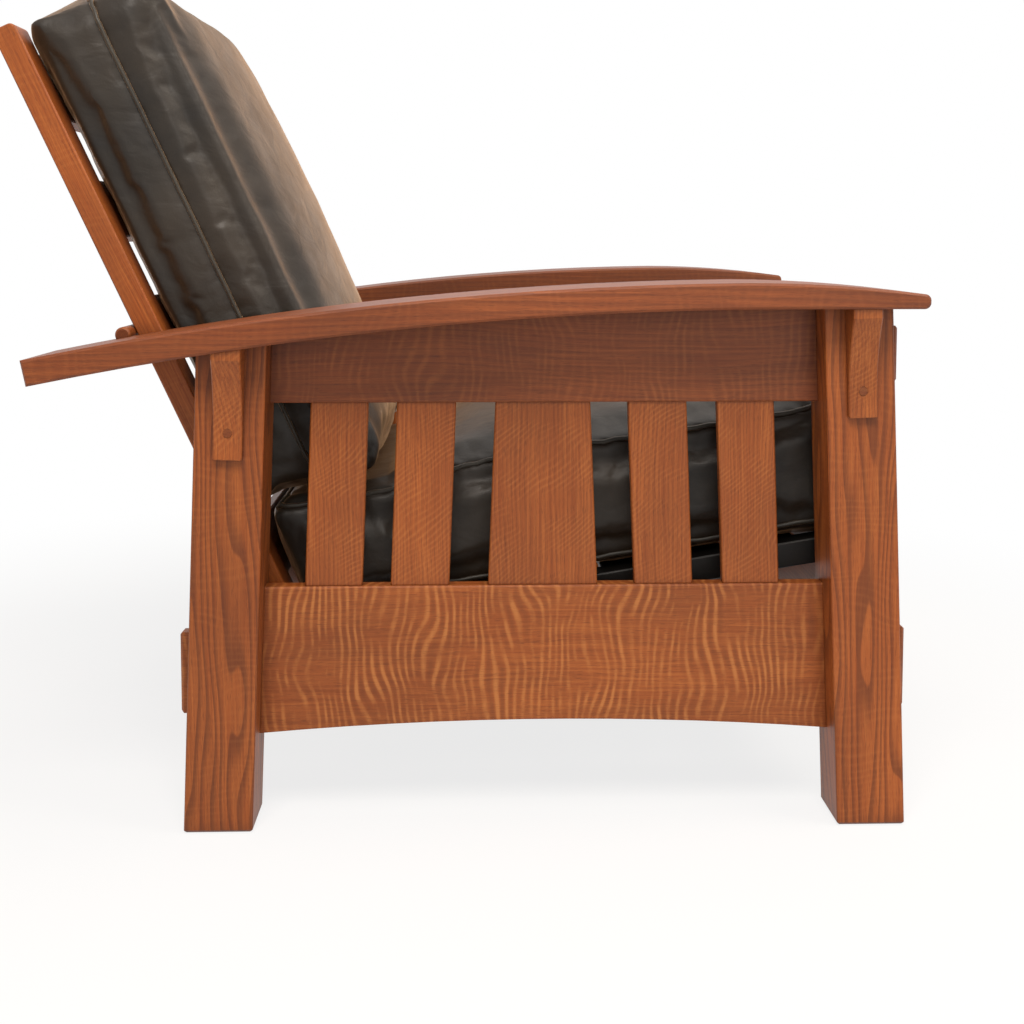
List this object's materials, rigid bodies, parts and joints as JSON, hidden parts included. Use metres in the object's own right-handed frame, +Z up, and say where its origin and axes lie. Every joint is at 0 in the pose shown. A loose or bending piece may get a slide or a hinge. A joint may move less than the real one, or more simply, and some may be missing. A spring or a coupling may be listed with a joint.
{
  "type": "reclining armchair",
  "caption": "Slatted oak armchair with bowed arms, leather cushions and a reclining back held by a round bar lying in notches in the arms.",
  "frame": {"origin": "middle of the chair's box, on the floor under it", "axes": "+Z up, -Y the way the sitter faces, +X the sitter's left"},
  "size_m": [0.864, 1.0432, 0.9774],
  "materials": {
    "oak": "quarter-sawn oak, fumed red-brown, satin lacquer",
    "dark_wood": "dark stained hardwood of the seat frame",
    "leather": "black-brown smooth upholstery leather, slight sheen",
    "steel": "plain bright steel pin"
  },
  "bodies": {
    "frame": {"arm_left": "oak", "arm_right": "oak", "corbel_plugs": "oak", "front_corbel_left": "oak", "front_corbel_right": "oak", "front_post_left": "oak", "front_post_right": "oak", "front_rail": "oak", "pivot_collar_left": "oak", "pivot_collar_right": "oak", "pivot_pin_left": "steel", "pivot_pin_right": "steel", "rear_corbel_left": "oak", "rear_corbel_right": "oak", "rear_post_left": "oak", "rear_post_right": "oak", "rear_rail": "oak", "seat_bearer": "oak", "seat_cushion": "leather", "seat_front_bar": "dark_wood", "seat_rear_bar": "dark_wood", "seat_side_rail_left": "dark_wood", "seat_side_rail_right": "dark_wood", "seat_slats": "dark_wood", "side_lower_rail_left": "oak", "side_lower_rail_right": "oak", "side_slat_left_1": "oak", "side_slat_left_2": "oak", "side_slat_left_3": "oak", "side_slat_left_4": "oak", "side_slat_left_5": "oak", "side_slat_right_1": "oak", "side_slat_right_2": "oak", "side_slat_right_3": "oak", "side_slat_right_4": "oak", "side_slat_right_5": "oak", "side_upper_rail_left": "oak", "side_upper_rail_right": "oak"},
    "back": {"back_cushion": "leather", "back_slat_1": "oak", "back_slat_2": "oak", "back_slat_3": "oak", "back_slat_4": "oak", "back_stile_left": "oak", "back_stile_right": "oak", "back_top_rail": "oak"},
    "bar": {"support_bar": "oak"}
  },
  "joints": [
    {"name": "back_recline", "type": "hinge", "parent": "frame", "child": "back", "pos_m": [0, 0.23482, 0.3036], "axis": [1, 0, 0], "range_deg": [0, 8]},
    {"name": "bar_lift", "type": "slide", "parent": "frame", "child": "bar", "axis": [0, 0.4179, 0.9085], "range_m": [0, 0.05]}
  ]
}
